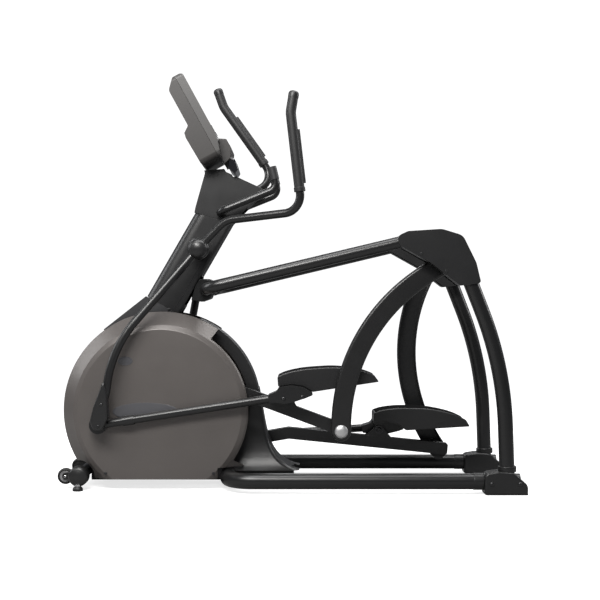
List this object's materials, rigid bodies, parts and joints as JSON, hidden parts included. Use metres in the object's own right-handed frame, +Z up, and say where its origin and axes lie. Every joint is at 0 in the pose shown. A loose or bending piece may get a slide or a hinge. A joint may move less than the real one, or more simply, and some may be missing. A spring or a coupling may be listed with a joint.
{
  "type": "elliptical trainer",
  "caption": "Suspension elliptical trainer with round front drive housing, hanging pedal arms, swinging handles, fixed grips and a tilted console",
  "frame": {"origin": "on the floor, under the middle of the machine's bounding box", "axes": "+X toward the rear feet, +Y the user's right, +Z up"},
  "size_m": [1.784, 0.634, 1.6137],
  "materials": {
    "frame_black": "black powder coat, low gloss, fine texture",
    "casting_black": "black textured coating on castings",
    "cover_black": "black moulded cover, fine grain",
    "disc_pewter": "metallic pewter paint on the side discs",
    "fairing_grey": "satin grey moulded fairing",
    "console_brown": "dark brown grey moulded shell",
    "console_grey": "mid grey moulded bezel",
    "screen_black": "dark screen under gloss",
    "pedal_black": "black moulded pedal, fine grain",
    "pad_rubber": "ribbed rubber foot pad",
    "grip_rubber": "soft black grip",
    "wheel_rubber": "hard black tread",
    "steel_bright": "turned steel",
    "contact_steel": "polished pulse contact",
    "flywheel_iron": "turned cast iron",
    "pulley_aluminium": "cast pulley",
    "belt_rubber": "ribbed drive belt",
    "screw_dark": "dark oxide screws"
  },
  "bodies": {
    "frame": {"base_rail_left": "frame_black", "base_rail_right": "frame_black", "base_spine": "frame_black", "front_stabilizer": "frame_black", "stabilizer_caps": "cover_black", "rear_foot_left": "casting_black", "rear_foot_right": "casting_black", "rear_upright_left": "frame_black", "rear_upright_right": "frame_black", "boom_left": "frame_black", "boom_right": "frame_black", "boom_yoke": "frame_black", "corner_cover_left": "cover_black", "corner_cover_right": "cover_black", "corner_liners": "cover_black", "corner_brackets": "frame_black", "mast_tube": "frame_black", "mast_front_cover": "cover_black", "mast_rear_cover": "cover_black", "mast_base_fairing": "fairing_grey", "disc_cover_left": "disc_pewter", "disc_cover_right": "disc_pewter", "front_shroud": "cover_black", "rear_fender": "cover_black", "console_mount": "cover_black", "console_shell": "console_brown", "console_bezel": "console_grey", "console_screen": "screen_black", "console_tray": "cover_black", "fixed_handlebar": "frame_black", "bar_grips": "contact_steel", "cover_screws": "screw_dark", "handle_axle": "steel_bright", "drive_belt": "belt_rubber", "drive_frame": "frame_black"},
    "crank": {"crank_spindle": "steel_bright", "crank_arm_left": "frame_black", "crank_arm_right": "frame_black", "drive_pulley": "pulley_aluminium"},
    "flywheel": {"flywheel": "flywheel_iron"},
    "wheel_left": {"transport_wheel_left": "wheel_rubber"},
    "foot_left": {"leveling_foot_left": "grip_rubber"},
    "arm_left": {"suspension_arm_left": "casting_black"},
    "beam_left": {"pedal_beam_left": "frame_black"},
    "pedal_link_left": {"link_rod_left": "frame_black", "pedal_left": "pedal_black", "pedal_pad_left": "pad_rubber"},
    "handle_left": {"handlebar_left": "frame_black", "handle_grip_left": "grip_rubber", "handle_foot_cover_left": "cover_black"},
    "wheel_right": {"transport_wheel_right": "wheel_rubber"},
    "foot_right": {"leveling_foot_right": "grip_rubber"},
    "arm_right": {"suspension_arm_right": "casting_black"},
    "beam_right": {"pedal_beam_right": "frame_black"},
    "pedal_link_right": {"link_rod_right": "frame_black", "pedal_right": "pedal_black", "pedal_pad_right": "pad_rubber"},
    "handle_right": {"handlebar_right": "frame_black", "handle_grip_right": "grip_rubber", "handle_foot_cover_right": "cover_black"}
  },
  "joints": [
    {"name": "arm_left_swing", "type": "hinge", "parent": "frame", "child": "arm_left", "pos_m": [0.579, -0.215, 0.856], "axis": [0, -1, 0], "range_deg": [-2.5, 35]},
    {"name": "arm_right_swing", "type": "hinge", "parent": "frame", "child": "arm_right", "pos_m": [0.579, 0.215, 0.856], "axis": [0, -1, 0], "range_deg": [-35.1, 2.6]},
    {"name": "beam_left_pivot", "type": "hinge", "parent": "arm_left", "child": "beam_left", "pos_m": [0.20038, -0.13, 0.22836], "axis": [0, -1, 0], "range_deg": [-19.61, 1.49]},
    {"name": "beam_right_pivot", "type": "hinge", "parent": "arm_right", "child": "beam_right", "pos_m": [0.60379, 0.13, 0.12342], "axis": [0, -1, 0], "range_deg": [-1.49, 19.61]},
    {"name": "pedal_left_pivot", "type": "hinge", "parent": "beam_left", "child": "pedal_link_left", "pos_m": [-0.01051, -0.13, 0.36126], "axis": [0, -1, 0], "range_deg": [-21.1, 1.6]},
    {"name": "pedal_right_pivot", "type": "hinge", "parent": "beam_right", "child": "pedal_link_right", "pos_m": [0.36619, 0.13, 0.19879], "axis": [0, -1, 0], "range_deg": [-1.6, 21.1]},
    {"name": "handle_left_swing", "type": "hinge", "parent": "frame", "child": "handle_left", "pos_m": [-0.348, -0.15, 0.925], "axis": [0, -1, 0], "range_deg": [-2.27, 30.54]},
    {"name": "handle_right_swing", "type": "hinge", "parent": "frame", "child": "handle_right", "pos_m": [-0.348, 0.15, 0.925], "axis": [0, -1, 0], "range_deg": [-30.54, 2.27]},
    {"name": "crank_spin", "type": "hinge", "parent": "frame", "child": "crank", "pos_m": [-0.493, 0, 0.3], "axis": [0, -1, 0], "continuous": true},
    {"name": "flywheel_spin", "type": "hinge", "parent": "frame", "child": "flywheel", "pos_m": [-0.69, 0, 0.245], "axis": [0, -1, 0], "continuous": true},
    {"name": "wheel_left_spin", "type": "hinge", "parent": "frame", "child": "wheel_left", "pos_m": [-0.86, -0.144, 0.048], "axis": [0, 1, 0], "continuous": true},
    {"name": "foot_left_turn", "type": "hinge", "parent": "frame", "child": "foot_left", "pos_m": [-0.802, -0.208, 0.017], "axis": [0, 0, 1], "continuous": true},
    {"name": "wheel_right_spin", "type": "hinge", "parent": "frame", "child": "wheel_right", "pos_m": [-0.86, 0.144, 0.048], "axis": [0, 1, 0], "continuous": true},
    {"name": "foot_right_turn", "type": "hinge", "parent": "frame", "child": "foot_right", "pos_m": [-0.802, 0.208, 0.017], "axis": [0, 0, 1], "continuous": true}
  ],
  "couplings": [
    {"joint": "arm_right_swing", "follows": "arm_left_swing", "ratio": -1},
    {"joint": "beam_left_pivot", "follows": "arm_left_swing", "ratio": -0.5575},
    {"joint": "beam_right_pivot", "follows": "arm_left_swing", "ratio": 0.5575},
    {"joint": "pedal_left_pivot", "follows": "arm_left_swing", "ratio": -0.6},
    {"joint": "pedal_right_pivot", "follows": "arm_left_swing", "ratio": 0.6},
    {"joint": "handle_left_swing", "follows": "arm_left_swing", "ratio": 0.8697},
    {"joint": "handle_right_swing", "follows": "arm_left_swing", "ratio": -0.8697},
    {"joint": "flywheel_spin", "follows": "crank_spin", "ratio": 5.8333}
  ]
}
